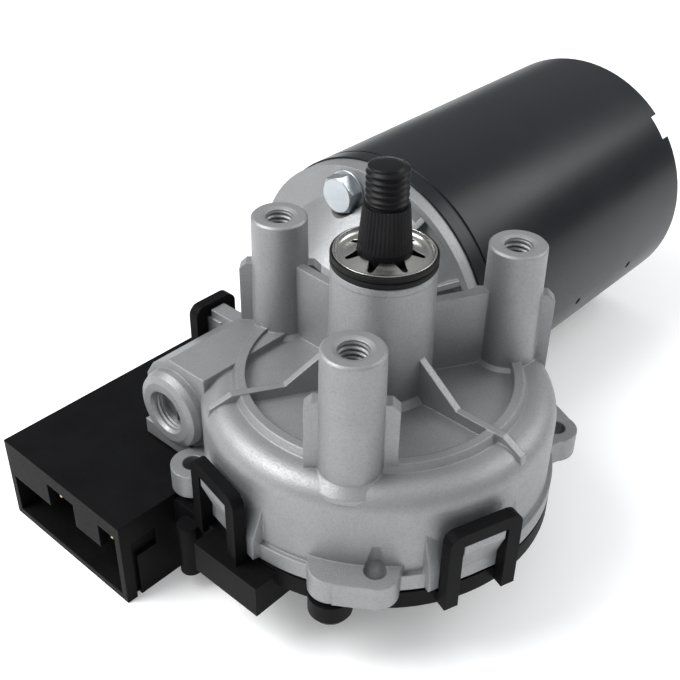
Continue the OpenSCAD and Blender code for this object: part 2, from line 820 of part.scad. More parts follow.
bolt_angles = [80, 260];
bolt_circle_r = can_r - bolt_inset;
module at_can_bolts(x) {
    for (a = bolt_angles) at_motor_angle(x, bolt_circle_r, a) children();
}

module can_front_plate() {
    color("#84878a") difference() {
        on_motor_axis(plate_x) ring(can_in_r, neck_r - 6, plate_t);
        at_can_bolts(plate_x - 1) cylinder(r = bolt_r, h = plate_t + 2);
    }
}

module can_seal_ring() {
    color("#202020") on_motor_axis(flange_x - seal_t)
        ring(seal_groove_r + seal_w, seal_groove_r, seal_t);
}

bolt_face_x = flange_x - pad_t;
module can_bolts() {
    washer_t = 0.7;
    color("#d5d8da") at_can_bolts(bolt_face_x - bolt_head_h) {
        rotate([0, 0, 12]) cylinder(r = bolt_af / 2 / cos(30), h = bolt_head_h - washer_t, $fn = 6);
        translate([0, 0, bolt_head_h - washer_t]) cylinder(r = bolt_af / 2 + 1.2, h = washer_t);
        translate([0, 0, bolt_head_h - 0.1]) cylinder(r = bolt_r, h = pad_t + plate_t + 1.4);
    }
}

carrier_x = plate_x + plate_t;
carrier_t = 2.4;
comm_x = carrier_x + 3;
comm_len = 12;
comm_to_core = 5.1;
core_x = comm_x + comm_len + comm_to_core;
magnet_over = 4;
magnet_x = core_x - magnet_over;
magnet_len = core_len + 2 * magnet_over;
magnet_in_r = can_in_r - magnet_t;
core_r = magnet_in_r - air_gap;
magnet_space = 22;
magnet_span = 360 / magnet_count - magnet_space;
module wedge(outer, length, span) {
    reach = 2 * outer;
    linear_extrude(length) polygon([
        [0, 0],
        [reach * cos(span / 2), -reach * sin(span / 2)],
        [reach, 0],
        [reach * cos(span / 2), reach * sin(span / 2)],
    ]);
}

module field_magnets() {
    color("#4a4643") for (i = [0:magnet_count - 1])
        on_motor_axis(magnet_x) rotate([0, 0, (i + 0.5) * 360 / magnet_count])
            intersection() {
                ring(can_in_r, magnet_in_r, magnet_len);
                wedge(can_in_r, magnet_len, magnet_span);
            }
}

module magnet_clips() {
    clip_wall = 0.8;
    half = (can_in_r - 1) * sin(magnet_space / 2) - 0.4;
    color("#90959a") for (i = [0:magnet_count - 1])
        on_motor_axis(magnet_x + 4) rotate([0, 0, i * 360 / magnet_count])
            difference() {
                translate([magnet_in_r + 1.5, -half + 1.5, 0])
                    cube([can_in_r - magnet_in_r - 2, 2 * half - 3, magnet_len - 8]);
                translate([magnet_in_r + 1.5 - slip, -half + 1.5 + clip_wall, -1])
                    cube([can_in_r - magnet_in_r - 2 - clip_wall, 2 * half - 3 - 2 * clip_wall, magnet_len]);
            }
}

cup_wall = 1.6;
module rear_end_plate() {
    color("#3a3c40") difference() {
        union() {
            on_motor_axis(rear_plate_x) cylinder(r = can_in_r, h = rear_plate_t);
            on_motor_axis(rear_bearing_x)
                cylinder(r = rear_bearing_r + cup_wall, h = rear_bearing_len + cup_wall);
        }
        on_motor_axis(rear_bearing_x - 1) cylinder(r = rear_bearing_r, h = rear_bearing_len + 1);
        for (a = [45:90:315]) at_motor_angle(rear_plate_x - 1, can_in_r * 0.62, a)
            cylinder(r = 3, h = rear_plate_t + 2);
    }
}

module rear_bearing_clip() {
    clip_ring_t = 0.8;
    color("#8f9398") on_motor_axis(rear_bearing_x - clip_ring_t) difference() {
        ring(rear_bearing_r + cup_wall, arm_r + 2, clip_ring_t);
        for (a = [0:60:300]) rotate([0, 0, a]) translate([arm_r + 1, -0.6, -1])
            cube([rear_bearing_r - arm_r - 1.5, 1.2, 3]);
    }
}

// Brush gear: a plate with three box holders round the commutator
brush_x = comm_x + 6;
brush_start = comm_r + seat_gap;
holder_wall = 1.2;
holder_in = comm_r + 3;
holder_out = holder_in + brush_len + brush_travel + 4;
brush_gap = 0.15;
brush_dirs = [["common", -90], ["low", 180], ["high", 90]];
module at_brush(dir) {
    translate([brush_x, gear_c, axis_z]) rotate([dir, 0, 0]) children();
}

module holder_box(grow, from, to) {
    translate([-brush_t / 2 - grow, from, -brush_w / 2 - grow])
        cube([brush_t + 2 * grow, to - from, brush_w + 2 * grow]);
}

module brush_carrier() {
    color("#6b4a32") difference() {
        union() {
            on_motor_axis(carrier_x) ring(can_in_r - 0.5, comm_r + 2, carrier_t);
            for (b = brush_dirs) at_brush(b[1]) {
                holder_box(holder_wall, holder_in, holder_out);
                translate([carrier_x + 0.5 - brush_x, holder_in, -brush_w / 2 - holder_wall])
                    cube([brush_x - carrier_x - 0.5, holder_out - holder_in, brush_w + 2 * holder_wall]);
            }
        }
        for (b = brush_dirs) at_brush(b[1]) holder_box(brush_gap, holder_in - 3, holder_out - holder_wall);
        at_can_bolts(carrier_x - 1) cylinder(r = bolt_r + 1, h = carrier_t + 2);
    }
}

module brush(dir) {
    color("#33302e") at_brush(dir) difference() {
        holder_box(0, comm_r - 1, brush_start + brush_len);
        rotate([0, 90, 0]) translate([0, 0, -brush_t]) cylinder(r = brush_start, h = 2 * brush_t);
    }
}

module brush_spring(dir) {
    spring_r = min(brush_t, brush_w) / 2 - 0.2;
    from = brush_start + brush_len + 0.05;
    color("#b4b7ba") at_brush(dir) translate([0, from, 0]) rotate([-90, 0, 0])
        ring(spring_r, spring_r - 0.9, holder_out - holder_wall - from - 0.05);
}

module common_brush() { brush(brush_dirs[0][1]); }

module low_speed_brush() { brush(brush_dirs[1][1]); }

module high_speed_brush() { brush(brush_dirs[2][1]); }

module common_brush_spring() { brush_spring(brush_dirs[0][1]); }

module low_speed_brush_spring() { brush_spring(brush_dirs[1][1]); }

module high_speed_brush_spring() { brush_spring(brush_dirs[2][1]); }

choke_r = 3.2;
choke_len = 10;
module suppression_chokes() {
    color("#b5652b") for (a = [35, 145])
        at_motor_angle(carrier_x + carrier_t, comm_r + 13, a) cylinder(r = choke_r, h = choke_len);
}

// Armature core, windings and commutator
slot_w = 5.4;
slot_in = 15;
tooth_cap = 3;
module core_slot(length, trim = 0) {
    translate([slot_in + trim, -slot_w / 2 + trim, 0])
        cube([core_r - tooth_cap - slot_in - 2 * trim, slot_w - 2 * trim, length]);
}

module armature_core() {
    color("#7c7f83") difference() {
        on_motor_axis(core_x) cylinder(r = core_r, h = core_len);
        on_motor_axis(core_x - 1) cylinder(r = arm_r, h = core_len + 2);
        for (i = [0:core_slots - 1]) on_motor_axis(core_x - 1) rotate([0, 0, i * 360 / core_slots]) {
            core_slot(core_len + 2);
            translate([core_r - tooth_cap - 0.5, -0.9, 0]) cube([tooth_cap + 2, 1.8, core_len + 2]);
        }
    }
}

end_turn = 6.5;
module armature_windings() {
    color("#a5532a") {
        for (x = [core_x - end_turn, core_x + core_len]) on_motor_axis(x)
            rotate_extrude() polygon([
                [slot_in - 1, 0.8], [slot_in, 0],
                [core_r - tooth_cap - 1.5, 0], [core_r - tooth_cap, 1.5],
                [core_r - tooth_cap, end_turn - 1.5], [core_r - tooth_cap - 0.5, end_turn],
                [slot_in - 1, end_turn],
            ]);
        for (i = [0:core_slots - 1]) on_motor_axis(core_x - 1) rotate([0, 0, i * 360 / core_slots])
            core_slot(core_len + 2, 0.1);
    }
}

module commutator() {
    bars = 12;
    color("#c8814a") difference() {
        union() {
            on_motor_axis(comm_x) cylinder(r = comm_r, h = comm_len);
            on_motor_axis(comm_x + comm_len) cylinder(r = comm_r + 1.6, h = 2);
        }
        on_motor_axis(comm_x - 1) cylinder(r = arm_r, h = comm_len + 4);
        for (i = [0:bars - 1]) on_motor_axis(comm_x - 1) rotate([0, 0, (i + 0.5) * 360 / bars])
            translate([comm_r - 0.8, -0.3, 0]) cube([4, 0.6, comm_len + 4]);
    }
}

// Gasket, cover, contacts and cover screw
cover_top = rim_z - gasket_t;
cover_foot = cover_top - cover_t;
conn_foot = cover_top - conn_h;
conn_end = 4;
block_x = -50.4;
block_y = -8;
block_h = 7.9;
block_len = 30.4;
block_step_x = 6.4;
block_step_y = 21;
block_foot = cover_foot - block_h;
block_sunk = 1.4;
block_inset = 1;
block_draft = 0.5;
peg_r = 2.8;
peg_in = 1.6;
peg_out = 8;
peg_drop = 9;
peg_sunk = 4;

// Space that the cover and its gasket leave to the motor flange
module flange_room() {
    on_motor_axis(flange_x - flange_t - body_gap) cylinder(r = can_r + body_gap, h = can_r);
}

module rim_outline(shrink = 0) {
    circle(lip_r - shrink);
    translate([-tunnel_x - lip_out + shrink, 10])
        square([tunnel_x + lip_out + 14 - shrink, tunnel_y + lip_out - 10 - shrink]);
}

module cover_gasket() {
    color("#232323") difference() {
        translate([0, 0, cover_top]) linear_extrude(gasket_t) difference() {
            rim_outline(0.4);
            circle(cavity_r);
        }
        flange_room();
        rotate([0, 0, screw_angle]) translate([screw_ring_r, 0, cover_top - 1])
            cylinder(r = cover_screw_r + 0.4, h = gasket_t + 2);
    }
}

// Loop clip with rounded upper corners, and the feet that tie its legs to the cover's rim
module loop_clip(width, top) {
    feet_z = cover_top - clip_drop;
    foot_in = 4;
    corner = [for (i = [0:corner_steps]) i * 90 / corner_steps];
    translate([clip_face, 0, 0]) rotate([90, 0, 90]) linear_extrude(clip_t) difference() {
        polygon(concat(
            [[-width / 2, feet_z], [width / 2, feet_z]],
            [for (a = corner) [
                width / 2 - clip_round + clip_round * cos(a),
                top - clip_round + clip_round * sin(a),
            ]],
            [for (a = corner) [
                -width / 2 + clip_round - clip_round * sin(a),
                top - clip_round + clip_round * cos(a),
            ]]
        ));
        translate([-width / 2 + clip_leg, feet_z - 1])
            square([width - 2 * clip_leg, top - clip_bar - feet_z + 1]);
    }
    for (s = [-1, 1]) translate([-foot_in, s * (width - clip_leg) / 2 - clip_leg / 2, feet_z])
        cube([clip_face + foot_in + 1, clip_leg, clip_drop - clip_gap]);
}

clip_drop = 3.2;
corner_steps = 5;

// Recess in the connector's near side, with the panel and the foot that stand in it
side_in = 1.3;
module side_recess() {
    frame_w = 3;
    shelf = 6.5;
    band = 5.5;
    groove = 1.4;
    length = conn_x - frame_w + block_x;
    difference() {
        translate([-conn_x + frame_w, conn_y - 1, conn_foot - 1])
            cube([length, side_in + 1, conn_h - shelf + 1]);
        translate([-conn_x + frame_w + groove, conn_y - 2, conn_foot])
            cube([length, side_in + 3, conn_h - shelf - band]);
    }
}

module connector_shell() {
    difference() {
        translate([-conn_x, conn_y, conn_foot]) cube([conn_x + conn_end, conn_w, conn_h]);
        side_recess();
        // Mouth, open towards -X
        translate([-conn_x - 1, conn_y + conn_wall, conn_foot + conn_wall])
            cube([conn_depth + 1, conn_w - 2 * conn_wall, conn_h - 2 * conn_wall]);
        // Cored-out underside behind the mouth
        for (i = [0:1], j = [0:1])
            translate([
                -conn_x + conn_depth + 2.4 + i * (core_pocket_x + 2),
                conn_y + conn_wall + j * (core_pocket_y + 2),
                conn_foot - 1,
            ]) cube([core_pocket_x, core_pocket_y, conn_h - 2.4]);
    }
    // Keying tabs that hang into the mouth from its top wall
    for (t = key_tabs)
        translate([-conn_x, conn_y + t[0], cover_top - key_drop])
            cube([conn_wall, t[1] - t[0], key_drop - 0.5]);
    translate([-conn_x, conn_y + 1, cover_top - 4]) cube([conn_wall, conn_w - 2, 3.5]);
}

key_drop = 11.5;
key_tabs = [[conn_w * 0.18, conn_w * 0.39], [conn_w * 0.62, conn_w - 1]];
core_pocket_x = (conn_x + conn_end - conn_depth - 2.4 - 2 - 2) / 2;
core_pocket_y = (conn_w - 2 * conn_wall - 2) / 2;

module bottom_cover() {
    color("#1f2022") difference() {
        union() {
            translate([0, 0, cover_foot]) linear_extrude(cover_t) rim_outline();
            translate([0, 0, cover_top - cover_rim_h]) linear_extrude(cover_rim_h) difference() {
                rim_outline();
                rim_outline(2.4);
            }
            // Block that holds the contact carrier, set back beside the connector
            translate([block_x, block_y, block_foot])
                cube([block_len, block_step_y, cover_top - block_sunk - block_foot]);
            translate([block_x + block_step_x, block_y + block_inset, block_foot + block_draft])
                cube([
                    block_len - block_step_x - block_inset,
                    conn_y - block_y,
                    cover_top - block_sunk - block_draft - block_foot,
                ]);
            // Peg under the cover between the block and the connector
            translate([
                block_x + block_step_x - peg_in,
                block_y + block_step_y + peg_out,
                block_foot - peg_drop,
            ]) cylinder(r = peg_r, h = cover_top - peg_sunk - block_foot + peg_drop);
            connector_shell();
            at_drum_clips() loop_clip(clip_w, drum_clip_top);
            at_side_clip() loop_clip(side_clip_w, side_clip_top);
            // Boss of the cover screw
            rotate([0, 0, screw_angle]) translate([screw_ring_r, 0, screw_seat_z])
                cylinder(r = 5.2, h = cover_top - 0.4 - screw_seat_z);
        }
        flange_room();
        rotate([0, 0, screw_angle]) translate([screw_ring_r, 0, screw_seat_z - 1])
            cylinder(r = cover_screw_r + 0.2, h = cover_top - screw_seat_z + 2);
        at_blades() blade_slot();
    }
}

// Contact blades stand in slots in the mouth's back wall
blade_w = 2.8;
blade_t = 0.8;
blade_pitch = conn_w * 0.15;
blade_z = cover_top - 11;
blade_short = 4;
blade_root = 2.3;
module at_blades() {
    for (i = [0:blade_count - 1])
        translate([
            -conn_x + conn_depth,
            conn_y + conn_w / 2 + (i - (blade_count - 1) / 2) * blade_pitch,
            blade_z,
        ]) children();
}

module blade_slot() {
    translate([-1, -blade_t / 2, -blade_w / 2]) cube([blade_root + 1.1, blade_t, blade_w]);
}

module connector_blades() {
    color("#c9b37a") at_blades()
        translate([-conn_depth + blade_short, -blade_t / 2, -blade_w / 2])
            cube([conn_depth - blade_short + blade_root, blade_t, blade_w]);
}

// Springs that rub on the park disc, each a bent strip standing on the cover
module park_contact_springs() {
    strip_w = 3;
    strip_t = 0.4;
    rise = wheel_foot - disc_t - seat_gap - cover_top;
    color("#c79a55") for (r = [disc_in + 2.5, (disc_in + disc_out) / 2, disc_out - 2.5])
        rotate([0, 0, -60]) translate([r - strip_w / 2, 0, cover_top]) rotate([90, 0, 90])
            linear_extrude(strip_w) polygon([
                [-14, 0], [-8, 0], [-1, rise - strip_t], [1, rise - strip_t], [2.5, rise - 1.6],
                [2.9, rise - 1.3], [1.2, rise], [-1.2, rise], [-8.2, strip_t], [-14, strip_t],
            ]);
}

cover_screw_r = 1.8;
cover_screw_in = 5.2;
screw_seat_z = cover_top - cover_rim_h - 0.2;
module cover_screw() {
    head_r = 4.4;
    head_h = 2.8;
    color("#2a2a2a") rotate([0, 0, screw_angle]) translate([screw_ring_r, 0, screw_seat_z]) {
        translate([0, 0, -head_h]) rotate_extrude() polygon([
            [0, 0], [head_r - 1.6, 0], [head_r - 0.4, 1], [head_r, 1.8], [head_r, head_h], [0, head_h],
        ]);
        cylinder(r = cover_screw_r, h = rim_z - screw_seat_z + cover_screw_in - 0.6);
    }
}

gear_housing();
upper_shaft_bush();
lower_shaft_bush();
shaft_seal_ring();
cover_gasket();
bottom_cover();
connector_blades();
park_contact_springs();
cover_screw();
thrust_screw();
thrust_pad();
front_bearing();
motor_can();
can_front_plate();
can_seal_ring();
can_bolts();
field_magnets();
magnet_clips();
rear_end_plate();
rear_bearing();
rear_bearing_clip();
brush_carrier();
suppression_chokes();
common_brush();
low_speed_brush();
high_speed_brush();
common_brush_spring();
low_speed_brush_spring();
high_speed_brush_spring();
armature_shaft();
worm();
armature_core();
armature_windings();
commutator();
output_shaft();
worm_wheel();
wheel_hub();
park_disc();
star_washer();
thrust_washer();
shaft_circlip();
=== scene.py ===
import json
import math

import bmesh
import bpy
from mathutils import Matrix, Vector


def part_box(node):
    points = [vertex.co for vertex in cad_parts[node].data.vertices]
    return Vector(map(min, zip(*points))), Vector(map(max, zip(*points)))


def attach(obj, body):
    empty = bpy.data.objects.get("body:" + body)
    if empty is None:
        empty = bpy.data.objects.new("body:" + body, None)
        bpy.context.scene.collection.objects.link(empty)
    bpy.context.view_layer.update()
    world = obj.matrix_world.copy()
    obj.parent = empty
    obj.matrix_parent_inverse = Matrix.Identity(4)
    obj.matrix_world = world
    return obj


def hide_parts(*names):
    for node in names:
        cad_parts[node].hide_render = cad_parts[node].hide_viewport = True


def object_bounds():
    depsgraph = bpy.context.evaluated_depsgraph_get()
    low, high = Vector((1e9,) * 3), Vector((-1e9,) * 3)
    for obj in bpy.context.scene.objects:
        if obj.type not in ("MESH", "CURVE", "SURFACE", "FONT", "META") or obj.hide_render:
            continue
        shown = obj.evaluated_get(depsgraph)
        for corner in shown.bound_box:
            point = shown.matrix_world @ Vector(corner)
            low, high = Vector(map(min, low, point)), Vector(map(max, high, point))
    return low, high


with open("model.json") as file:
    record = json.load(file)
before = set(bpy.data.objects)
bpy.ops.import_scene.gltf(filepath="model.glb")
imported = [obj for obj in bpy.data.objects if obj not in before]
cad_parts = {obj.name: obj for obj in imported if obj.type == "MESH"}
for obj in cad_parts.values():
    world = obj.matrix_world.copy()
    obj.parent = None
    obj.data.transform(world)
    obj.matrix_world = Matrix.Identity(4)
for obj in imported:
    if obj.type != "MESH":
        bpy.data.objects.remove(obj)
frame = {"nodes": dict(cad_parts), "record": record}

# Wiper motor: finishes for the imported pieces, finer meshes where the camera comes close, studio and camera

cad_box = [list(corner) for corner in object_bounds()]
nodes = frame["nodes"]
MM = 0.001
# The armature's axis runs along X, beside and below the output shaft
MOTOR_Y, MOTOR_Z = 38 * MM, -43 * MM

# Building blocks of the materials. Scales are in features per metre.

WHITE = (1, 1, 1)
# Noise stays mostly between these two values
NOISE_LOW, NOISE_HIGH = 0.3, 0.7
EDGE_SAMPLES = 6


def grey(value):
    return (value, value, value)


def new_material(name):
    """A new material, its node tree, its shader and the piece's own coordinates."""
    material = bpy.data.materials.new(name)
    material.use_nodes = True
    tree = material.node_tree
    place = tree.nodes.new("ShaderNodeTexCoord").outputs["Object"]
    return material, tree, tree.nodes["Principled BSDF"], place


def noise(tree, place, scale, detail, rough=0.55, stretch=None):
    """Noise, stretched along an axis if asked."""
    node = tree.nodes.new("ShaderNodeTexNoise")
    node.inputs["Scale"].default_value = scale
    node.inputs["Detail"].default_value = detail
    node.inputs["Roughness"].default_value = rough
    if stretch:
        mapping = tree.nodes.new("ShaderNodeMapping")
        mapping.inputs["Scale"].default_value = stretch
        tree.links.new(place, mapping.inputs["Vector"])
        place = mapping.outputs["Vector"]
    tree.links.new(place, node.inputs["Vector"])
    return node.outputs["Fac"]


def ramp(tree, factor, stops):
    """Colour ramp from (position, colour) pairs."""
    node = tree.nodes.new("ShaderNodeValToRGB")
    elements = node.color_ramp.elements
    while len(elements) < len(stops):
        elements.new(0.5)
    for element, (position, colour) in zip(elements, stops):
        element.position = position
        element.color = (*colour, 1)
    tree.links.new(factor, node.inputs["Fac"])
    return node.outputs["Color"]


def between(tree, factor, dark, light):
    return ramp(tree, factor, [(NOISE_LOW, dark), (NOISE_HIGH, light)])


def spread(tree, factor, low, high):
    """The noise's range, mapped to a range from low to high."""
    node = tree.nodes.new("ShaderNodeMapRange")
    node.inputs["From Min"].default_value = NOISE_LOW
    node.inputs["From Max"].default_value = NOISE_HIGH
    node.inputs["To Min"].default_value = low
    node.inputs["To Max"].default_value = high
    tree.links.new(factor, node.inputs["Value"])
    return node.outputs["Result"]


def multiply(tree, a, b):
    node = tree.nodes.new("ShaderNodeMix")
    node.data_type = "RGBA"
    node.blend_type = "MULTIPLY"
    node.inputs["Factor"].default_value = 1.0
    tree.links.new(a, node.inputs["A"])
    tree.links.new(b, node.inputs["B"])
    return node.outputs["Result"]


def bump(tree, height, distance, strength, normal):
    node = tree.nodes.new("ShaderNodeBump")
    node.inputs["Strength"].default_value = strength
    node.inputs["Distance"].default_value = distance
    tree.links.new(height, node.inputs["Height"])
    tree.links.new(normal, node.inputs["Normal"])
    return node.outputs["Normal"]


def soft_edge(tree, radius):
    """A normal that rounds the sharp edges of a mesh."""
    node = tree.nodes.new("ShaderNodeBevel")
    node.samples = EDGE_SAMPLES
    node.inputs["Radius"].default_value = radius
    return node.outputs["Normal"]


def link_finish(tree, shader, colour, rough, normal):
    tree.links.new(colour, shader.inputs["Base Color"])
    tree.links.new(rough, shader.inputs["Roughness"])
    tree.links.new(normal, shader.inputs["Normal"])


# Finishes


def cast_material():
    """Blasted die-casting: a fine even grain, faint flow marks and darker pits."""
    material, tree, shader, place = new_material("cast_aluminium")
    broad = noise(tree, place, 45, 5.0, 0.6)
    flow = noise(tree, place, 260, 3.0, 0.5)
    grain = noise(tree, place, 2000, 3.0, 0.7)
    fine = noise(tree, place, 3600, 2.0, 0.6)
    base = between(tree, broad, (0.27, 0.275, 0.28), (0.305, 0.31, 0.315))
    soil = ramp(tree, flow, [(0.3, (0.96, 0.96, 0.957)), (0.6, WHITE)])
    pits = ramp(tree, grain, [(0.3, grey(0.87)), (0.5, grey(0.97)), (0.72, WHITE)])
    colour = multiply(tree, multiply(tree, base, soil), pits)
    relief = bump(tree, grain, 0.09 * MM, 0.8, soft_edge(tree, 0.45 * MM))
    relief = bump(tree, fine, 0.04 * MM, 0.7, relief)
    link_finish(tree, shader, colour, spread(tree, grain, 0.6, 0.43), relief)
    shader.inputs["Metallic"].default_value = 0.68
    return material


def paint_material():
    """Black paint on drawn steel: a soft sheen with a faint orange-peel surface."""
    material, tree, shader, place = new_material("can_paint")
    broad = noise(tree, place, 30, 4.0)
    peel = noise(tree, place, 900, 2.0, 0.5)
    dust = noise(tree, place, 2600, 2.0, 0.8)
    base = between(tree, broad, (0.006, 0.007, 0.009), (0.01, 0.011, 0.014))
    specks = ramp(tree, dust, [(0.6, WHITE), (0.78, (1.9, 1.9, 2.0))])
    relief = bump(tree, peel, 0.03 * MM, 0.5, soft_edge(tree, 0.4 * MM))
    link_finish(tree, shader, multiply(tree, base, specks), spread(tree, broad, 0.26, 0.34), relief)
    shader.inputs["Specular IOR Level"].default_value = 0.2
    return material


def plastic_material():
    """Black moulded plastic with a fine spark-eroded surface."""
    material, tree, shader, place = new_material("moulded_plastic")
    broad = noise(tree, place, 80, 4.0)
    grain = noise(tree, place, 2400, 3.0, 0.6)
    base = between(tree, broad, (0.0035, 0.0035, 0.004), (0.006, 0.006, 0.0065))
    specks = ramp(tree, grain, [(0.4, grey(0.85)), (0.7, grey(1.25))])
    relief = bump(tree, grain, 0.035 * MM, 0.7, soft_edge(tree, 0.3 * MM))
    link_finish(tree, shader, multiply(tree, base, specks), spread(tree, grain, 0.42, 0.58), relief)
    shader.inputs["Specular IOR Level"].default_value = 0.05
    return material


def turned_material(name, light, dark, rough):
    """Turned or pressed steel: fine rings of tool marks round the object's own Z."""
    material, tree, shader, place = new_material(name)
    rings = noise(tree, place, 700, 2.0, 0.5, (0.25, 0.25, 4.0))
    broad = noise(tree, place, 120, 3.0)
    relief = bump(tree, rings, 0.02 * MM, 0.5, soft_edge(tree, 0.15 * MM))
    link_finish(tree, shader, between(tree, broad, dark, light), spread(tree, rings, *rough), relief)
    shader.inputs["Metallic"].default_value = 1.0
    return material


def plain_material(name, light, dark, rough, grain, depth, metallic=0.0, gloss=0.5):
    """Uneven colour and gloss over a fine grain, whose depth is in millimetres."""
    material, tree, shader, place = new_material(name)
    broad = noise(tree, place, 60, 4.0)
    fine = noise(tree, place, grain, 4.0, 0.65)
    specks = ramp(tree, fine, [(0.35, grey(0.82)), (0.65, WHITE)])
    colour = multiply(tree, between(tree, broad, dark, light), specks)
    relief = bump(tree, fine, depth * MM, 1.0, soft_edge(tree, 0.25 * MM))
    link_finish(tree, shader, colour, spread(tree, fine, *rough), relief)
    shader.inputs["Metallic"].default_value = metallic
    shader.inputs["Specular IOR Level"].default_value = gloss
    return material


# Finish for each slot of the record, and two that only finer pieces wear
MATS = {
    "die_casting": cast_material(),
    "can_paint": paint_material(),
    "black_plastic": plastic_material(),
    "black_rubber": plain_material(
        "black_rubber", grey(0.009), grey(0.005), (0.5, 0.7), 1800, 0.03, gloss=0.2),
    "black_oxide_steel": plain_material(
        "black_oxide", (0.008, 0.008, 0.009), (0.004, 0.004, 0.005), (0.34, 0.5), 2200, 0.02, gloss=0.16),
    "black_screw": plain_material(
        "black_coat", (0.012, 0.012, 0.013), (0.007, 0.007, 0.008), (0.35, 0.5), 2000, 0.02, gloss=0.25),
    "bright_steel": turned_material("bright_steel", (0.78, 0.78, 0.76), (0.66, 0.66, 0.64), (0.2, 0.36)),
    "grey_steel": turned_material("grey_steel", (0.45, 0.46, 0.47), (0.34, 0.35, 0.36), (0.3, 0.45)),
    "washer_steel": turned_material("washer_steel", (0.42, 0.415, 0.4), (0.34, 0.335, 0.32), (0.2, 0.34)),
    "bolt_zinc": turned_material("bolt_zinc", (0.46, 0.49, 0.51), (0.38, 0.41, 0.43), (0.3, 0.44)),
    "sintered_bronze": plain_material(
        "sintered_bronze", (0.56, 0.38, 0.18), (0.42, 0.28, 0.13), (0.4, 0.6), 2000, 0.03, metallic=0.9),
    "contact_brass": plain_material(
        "contact_brass", (0.8, 0.65, 0.36), (0.66, 0.52, 0.28), (0.2, 0.35), 1500, 0.01, metallic=1.0),
    "white_nylon": plain_material(
        "white_nylon", (0.78, 0.76, 0.68), (0.7, 0.68, 0.6), (0.4, 0.55), 1500, 0.02),
    "ferrite": plain_material(
        "ferrite", (0.07, 0.066, 0.064), (0.045, 0.043, 0.042), (0.5, 0.7), 1800, 0.04, metallic=0.1),
    "brown_phenolic": plain_material(
        "brown_phenolic", (0.2, 0.1, 0.055), (0.14, 0.07, 0.035), (0.4, 0.6), 1200, 0.03),
    "copper_wire": plain_material(
        "copper_wire", (0.62, 0.24, 0.1), (0.45, 0.16, 0.07), (0.25, 0.4), 900, 0.05, metallic=0.9),
    "carbon": plain_material(
        "carbon", (0.045, 0.042, 0.04), (0.028, 0.027, 0.026), (0.45, 0.6), 2000, 0.03, metallic=0.2),
}

for part in frame["record"]["subparts"]:
    piece = nodes[part["node"]]
    for slot in piece.material_slots:
        slot.material = MATS[part["material_slot"]]
    if not piece.material_slots:
        piece.data.materials.append(MATS[part["material_slot"]])

# Helpers for meshes. Sizes go in as millimetres and come out as metres.


def point(r, angle, z):
    """A point from its radius, angle and height."""
    return (r * math.cos(angle) * MM, r * math.sin(angle) * MM, z * MM)


def to_object(name, bm, material, body, smooth_deg):
    mesh = bpy.data.meshes.new(name)
    bm.normal_update()
    bm.to_mesh(mesh)
    bm.free()
    obj = bpy.data.objects.new(name, mesh)
    bpy.context.scene.collection.objects.link(obj)
    mesh.materials.append(MATS[material])
    mesh.shade_smooth()
    mesh.set_sharp_from_angle(angle=math.radians(smooth_deg))
    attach(obj, body)
    return obj


def turned(rows, around, radius, capped=True):
    """A turned surface: rows of height, and radius(height, angle) for each of them."""
    bm = bmesh.new()
    rings = []
    for z in rows:
        angles = [2 * math.pi * i / around for i in range(around)]
        rings.append([bm.verts.new(point(radius(z, angle), angle, z)) for angle in angles])
    for low, high in zip(rings, rings[1:]):
        for i in range(around):
            j = (i + 1) % around
            bm.faces.new((low[i], low[j], high[j], high[i]))
    if capped:
        bm.faces.new(list(reversed(rings[0])))
        bm.faces.new(rings[-1])
    return bm


def revolved(profile, around=160):
    """A ring from a closed profile of (radius, height)."""
    bm = bmesh.new()
    rings = []
    for i in range(around):
        angle = 2 * math.pi * i / around
        rings.append([bm.verts.new(point(r, angle, z)) for r, z in profile])
    for ring, following in zip(rings, rings[1:] + rings[:1]):
        for i in range(len(profile)):
            j = (i + 1) % len(profile)
            bm.faces.new((ring[i], following[i], following[j], ring[j]))
    bmesh.ops.recalc_face_normals(bm, faces=bm.faces)
    return bm


def lay_along_motor(bm, place):
    """Turns a mesh that stands on Z to point along -X, as the flange faces, and moves it to its place."""
    quarter = Matrix.Rotation(math.radians(-90), 3, "Y")
    bmesh.ops.rotate(bm, verts=bm.verts, cent=(0, 0, 0), matrix=quarter)
    bmesh.ops.translate(bm, verts=bm.verts, vec=place)


def interpolate(table, x):
    """The value at x in a table of (x, value) that holds its end values beyond both ends."""
    for (x0, y0), (x1, y1) in zip(table, table[1:]):
        if x <= x1:
            return y0 if x1 == x0 else y0 + (y1 - y0) * max(0.0, x - x0) / (x1 - x0)
    return table[-1][1]


def steps(start, step, count):
    return [start + step * i for i in range(count)]


def saw(x):
    """0 at whole numbers, 1 halfway between them."""
    x -= math.floor(x)
    return 1 - abs(2 * x - 1)


def wave(turns):
    """0 at whole turns, 1 halfway between them."""
    return 0.5 - 0.5 * math.cos(2 * math.pi * turns)


# Output shaft with its rolled thread and serrated cone: height and radius of each step

SHAFT = [(-51.8, 5.65), (-51.2, 6.25), (5.0, 6.25), (15.4, 5.3), (15.45, 4.35), (15.9, 4.35),
         (16.3, 4.9), (25.2, 4.9)]
SHAFT_AROUND = 240
CONE_FOOT, CONE_TOP = 5.3, 15.4
SERRATIONS, SERRATION_DEPTH, SERRATION_RISE = 40, 0.3, 0.8
THREAD_FOOT, DOME_FOOT, SHAFT_TIP = 16.0, 23.8, 25.2
THREAD_PITCH, THREAD_DEPTH, THREAD_RUN_OUT = 1.5, 0.62, 0.9
# The dome's curve ends just above the tip, which leaves a small flat
DOME_END = SHAFT_TIP + 0.1


